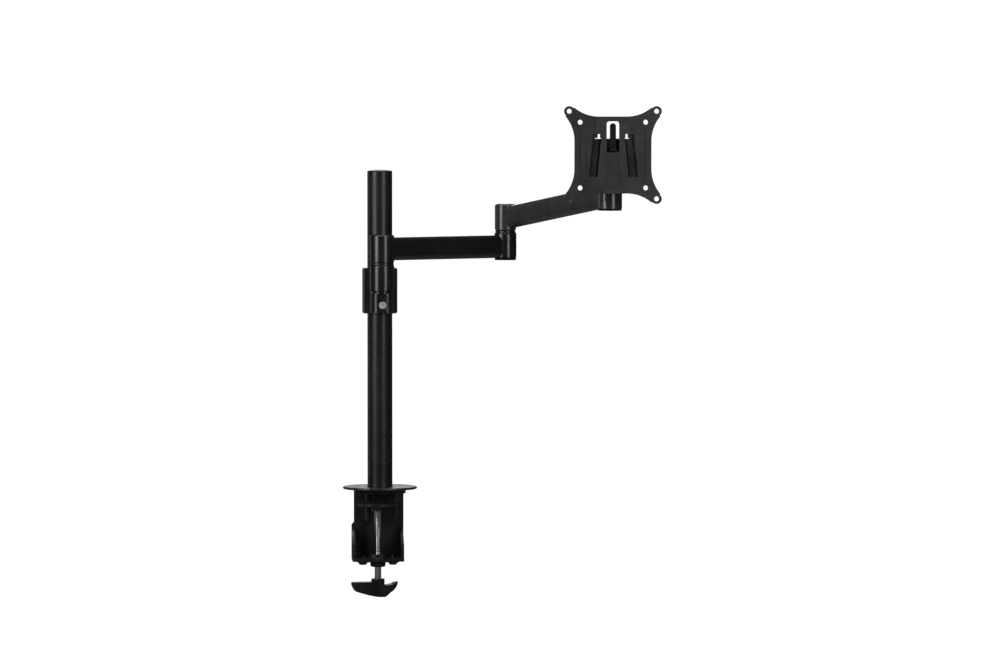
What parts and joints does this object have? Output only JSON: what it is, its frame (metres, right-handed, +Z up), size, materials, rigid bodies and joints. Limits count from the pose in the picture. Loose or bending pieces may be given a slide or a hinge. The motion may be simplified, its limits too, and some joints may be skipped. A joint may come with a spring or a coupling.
{
  "type": "monitor arm",
  "caption": "Desk-clamped monitor arm: upright post, height-adjustable collar, two swivelling links and a tilting, rotating quick-release VESA plate.",
  "frame": {"origin": "on the post's axis, in the plane where the upper jaw's pad rests on the desk top", "axes": "+Z up along the post, -Y towards the side the monitor faces, +X to the right of a viewer of the plate's front"},
  "size_m": [0.3615, 0.2011, 0.5718],
  "materials": {
    "flange_paint": "satin black powder coat",
    "post_paint": "satin black powder coat on a steel tube",
    "bracket_paint": "satin black powder coat on steel plate",
    "cast_paint": "satin black paint on cast aluminium",
    "link_paint": "matte black paint on aluminium",
    "upper_link_paint": "satin charcoal paint on aluminium",
    "black_washer": "glossy black acetal",
    "black_plastic": "moulded black nylon with a satin sheen",
    "plate_black": "satin black paint on pressed and cast metal",
    "bush_plastic": "natural acetal",
    "black_rubber": "matte black rubber",
    "thread_steel": "plain rolled steel thread",
    "bright_zinc": "bright zinc-plated steel",
    "zinc_steel": "zinc-plated steel",
    "black_steel": "black-oxide steel",
    "brass": "plain brass"
  },
  "bodies": {
    "desk_mount": {"base_flange": "flange_paint", "post_tube": "post_paint", "post_top_cap": "black_plastic", "post_insert": "zinc_steel", "base_bolt": "zinc_steel", "flange_screws": "zinc_steel", "upper_bracket": "bracket_paint", "lower_bracket": "bracket_paint", "bracket_bolts": "black_steel", "desk_pad": "black_rubber", "threaded_boss": "bracket_paint", "boss_screws": "black_steel"},
    "pressure_pad": {"pressure_disc": "flange_paint", "pressure_rubber": "black_rubber", "pad_retainer": "zinc_steel"},
    "screw_and_knob": {"clamp_screw": "thread_steel", "clamp_knob": "black_plastic", "knob_pin": "zinc_steel"},
    "collar_sleeve": {"collar_bushes": "black_plastic"},
    "collar": {"collar_body": "cast_paint", "brake_shoe": "brass", "height_screw": "bright_zinc", "pivot_grub_screw": "black_steel", "shoulder_pin": "zinc_steel", "shoulder_washer": "black_washer"},
    "lower_link": {"lower_link_body": "link_paint", "shoulder_bushes": "bush_plastic", "shoulder_cap": "black_plastic", "elbow_bottom_cap": "black_plastic", "elbow_pin": "zinc_steel", "elbow_washer": "black_washer"},
    "upper_link": {"upper_link_body": "upper_link_paint", "elbow_bushes": "bush_plastic", "elbow_top_cap": "black_plastic", "head_bushes": "bush_plastic", "head_washer": "black_washer", "head_bottom_cap": "black_plastic"},
    "yoke": {"head_yoke": "cast_paint", "head_retaining_washer": "zinc_steel", "head_retaining_screw": "zinc_steel", "tilt_washers": "zinc_steel", "tilt_bolt": "black_steel", "tilt_nut": "zinc_steel"},
    "tilt_head": {"tilt_block": "cast_paint", "roll_washer": "bush_plastic", "roll_bolt": "black_steel"},
    "wedge": {"release_wedge": "bracket_paint"},
    "plate": {"vesa_plate": "plate_black"},
    "latch": {"latch_tongue": "black_plastic"}
  },
  "joints": [
    {"name": "clamp_travel", "type": "slide", "parent": "desk_mount", "child": "pressure_pad", "axis": [0, 0, 1], "range_m": [-0.048, 0.0128]},
    {"name": "clamp_screw_turn", "type": "hinge", "parent": "pressure_pad", "child": "screw_and_knob", "pos_m": [-0.0019, 0.018, -0.09], "axis": [0, 0, 1], "range_deg": [-13826, 3688.4]},
    {"name": "height_slide", "type": "slide", "parent": "desk_mount", "child": "collar_sleeve", "axis": [0, 0, 1], "range_m": [-0.195, 0.108]},
    {"name": "collar_turn", "type": "hinge", "parent": "collar_sleeve", "child": "collar", "pos_m": [0, 0, 0.235], "axis": [0, 0, 1], "range_deg": [-180, 180]},
    {"name": "shoulder_swivel", "type": "hinge", "parent": "collar", "child": "lower_link", "pos_m": [0.00123, -0.03198, 0.28], "axis": [0, 0, 1], "range_deg": [-256, 10]},
    {"name": "elbow_swivel", "type": "hinge", "parent": "lower_link", "child": "upper_link", "pos_m": [0.14957, 0.06998, 0.3], "axis": [0, 0, 1], "range_deg": [-95, 235]},
    {"name": "head_pan", "type": "hinge", "parent": "upper_link", "child": "yoke", "pos_m": [0.2626, -0.07011, 0.346], "axis": [0, 0, 1], "range_deg": [-51, 129]},
    {"name": "head_tilt", "type": "hinge", "parent": "yoke", "child": "tilt_head", "pos_m": [0.2626, -0.07011, 0.3934], "axis": [1, 0, 0], "range_deg": [-15, 15]},
    {"name": "head_roll", "type": "hinge", "parent": "tilt_head", "child": "wedge", "pos_m": [0.2626, -0.09411, 0.3934], "axis": [0, -1, 0], "range_deg": [-90, 90]},
    {"name": "plate_release", "type": "slide", "parent": "wedge", "child": "plate", "axis": [0, 0, 1], "range_m": [0, 0.06]},
    {"name": "latch_flex", "type": "hinge", "parent": "plate", "child": "latch", "pos_m": [0.2626, -0.11611, 0.39865], "axis": [1, 0, 0], "range_deg": [-6, 4], "stiffness_Nm_per_rad": 0.05}
  ],
  "couplings": [
    {"joint": "clamp_screw_turn", "follows": "clamp_travel", "rad_per_m": 5026.5}
  ]
}
